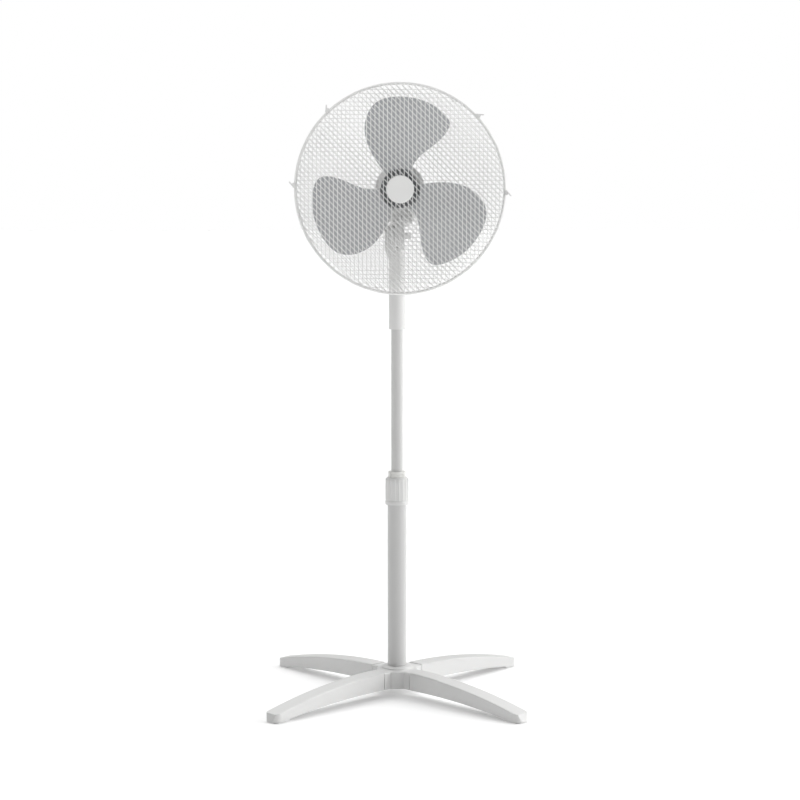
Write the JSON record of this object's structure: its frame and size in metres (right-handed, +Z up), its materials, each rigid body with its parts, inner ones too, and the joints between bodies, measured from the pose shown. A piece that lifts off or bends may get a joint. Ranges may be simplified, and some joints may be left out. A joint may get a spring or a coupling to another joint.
{
  "type": "pedestal fan",
  "caption": "Pedestal fan with a cross base, telescopic mast, tilting and oscillating head, translucent blades and a fine mesh guard.",
  "frame": {"origin": "on the floor, under the mast axis, at the middle of the cross base", "axes": "+Z up along the mast, -Y the way the fan blows, +X to the right seen from the front"},
  "size_m": [0.5248, 0.5248, 1.28],
  "materials": {
    "white_abs": "moulded ABS, fine satin gloss",
    "white_coated_steel": "powder coated, satin",
    "smoked_blade": "translucent smoke grey, gloss",
    "coated_wire": "dip coated wire, satin",
    "rubber": "soft grey rubber",
    "zinc_steel": "zinc plated steel",
    "grey_nylon": "moulded nylon",
    "laminated_steel": "stacked electrical steel",
    "copper_winding": "enamelled copper wire",
    "dark_plastic": "moulded phenolic"
  },
  "bodies": {
    "stand": {"base_hub": "white_abs", "leg_front_left": "white_abs", "leg_front_right": "white_abs", "leg_back_left": "white_abs", "leg_back_right": "white_abs", "foot_pads": "rubber", "leg_screws": "zinc_steel", "base_washer": "zinc_steel", "base_bolt": "zinc_steel", "tube_plug": "grey_nylon", "lower_tube": "white_coated_steel", "guide_bush": "grey_nylon"},
    "collar": {"height_collar": "white_abs"},
    "mast": {"upper_tube": "white_coated_steel", "stop_bush": "grey_nylon", "neck_sleeve": "white_abs", "neck_screws": "zinc_steel", "tilt_nut": "zinc_steel"},
    "tilt_screw": {"tilt_bolt": "zinc_steel", "tilt_knob": "white_abs"},
    "tilt_arm": {"tilt_bracket": "white_abs", "oscillation_pin": "zinc_steel", "pin_circlip": "zinc_steel", "crank_link": "zinc_steel"},
    "head": {"gearbox_housing": "white_abs", "cord_gland": "rubber", "motor_front_cover": "white_abs", "motor_rear_cover": "white_abs", "cover_screws": "zinc_steel", "rear_bearing_bracket": "zinc_steel", "front_bearing": "zinc_steel", "rear_bearing": "zinc_steel", "stator_core": "laminated_steel", "stator_windings": "copper_winding", "rotary_switch": "dark_plastic", "run_capacitor": "dark_plastic", "front_guard_wires": "coated_wire", "rear_guard_wires": "coated_wire", "front_guard_rim": "coated_wire", "rear_guard_rim": "coated_wire", "rear_guard_plate": "coated_wire", "guard_nut": "white_abs", "front_cap": "white_abs", "cap_retainer": "grey_nylon", "cap_screws": "zinc_steel"},
    "rotor": {"motor_shaft": "zinc_steel", "rotor_core": "laminated_steel", "worm": "zinc_steel", "fan_blades": "smoked_blade", "blade_nut": "grey_nylon"},
    "crank": {"worm_wheel": "grey_nylon", "crank_disc": "zinc_steel"},
    "oscillation_button": {"oscillation_knob": "white_abs"},
    "speed_dial": {"speed_knob": "white_abs"},
    "clip_right": {"guard_clip_right": "white_abs"},
    "clip_upper_right": {"guard_clip_upper_right": "white_abs"},
    "clip_upper_left": {"guard_clip_upper_left": "white_abs"},
    "clip_left": {"guard_clip_left": "white_abs"}
  },
  "joints": [
    {"name": "mast_slide", "type": "slide", "parent": "stand", "child": "mast", "axis": [0, 0, 1], "range_m": [-0.285, 0]},
    {"name": "collar_turn", "type": "hinge", "parent": "stand", "child": "collar", "pos_m": [0, 0, 0.433], "axis": [0, 0, 1], "range_deg": [0, 180]},
    {"name": "tilt_screw_turn", "type": "hinge", "parent": "mast", "child": "tilt_screw", "pos_m": [0, 0, 0.967], "axis": [1, 0, 0], "range_deg": [0, 180]},
    {"name": "head_tilt", "type": "hinge", "parent": "mast", "child": "tilt_arm", "pos_m": [0, 0, 0.967], "axis": [-1, 0, 0], "range_deg": [-10, 25]},
    {"name": "oscillation", "type": "hinge", "parent": "tilt_arm", "child": "head", "pos_m": [0.0065, 0, 0.995], "axis": [0, 0, 1], "range_deg": [-40, 40]},
    {"name": "rotor_spin", "type": "hinge", "parent": "head", "child": "rotor", "pos_m": [0.0065, 0, 1.065], "axis": [0, -1, 0], "continuous": true},
    {"name": "crank_turn", "type": "hinge", "parent": "head", "child": "crank", "pos_m": [0.0264, 0.0645, 1], "axis": [0, 0, 1], "continuous": true},
    {"name": "oscillation_knob_pull", "type": "slide", "parent": "head", "child": "oscillation_button", "axis": [0, 0, 1], "range_m": [0, 0.006]},
    {"name": "speed_knob_turn", "type": "hinge", "parent": "head", "child": "speed_dial", "pos_m": [0.0065, 0.09, 1.065], "axis": [0, 1, 0], "range_deg": [0, 120]},
    {"name": "clip_right_lift", "type": "hinge", "parent": "head", "child": "clip_right", "pos_m": [0.21857, -0.0915, 1.05759], "axis": [0.0349, 0, 0.9994], "range_deg": [0, 60]},
    {"name": "clip_upper_right_lift", "type": "hinge", "parent": "head", "child": "clip_upper_right", "pos_m": [0.16169, -0.0915, 1.20972], "axis": [-0.682, 0, 0.7314], "range_deg": [0, 60]},
    {"name": "clip_upper_left_lift", "type": "hinge", "parent": "head", "child": "clip_upper_left", "pos_m": [-0.13822, -0.0915, 1.22019], "axis": [-0.7314, 0, -0.682], "range_deg": [0, 60]},
    {"name": "clip_left_lift", "type": "hinge", "parent": "head", "child": "clip_left", "pos_m": [-0.20557, -0.0915, 1.07241], "axis": [-0.0349, 0, -0.9994], "range_deg": [0, 60]}
  ],
  "couplings": [
    {"joint": "crank_turn", "follows": "rotor_spin", "ratio": 0.041667}
  ]
}
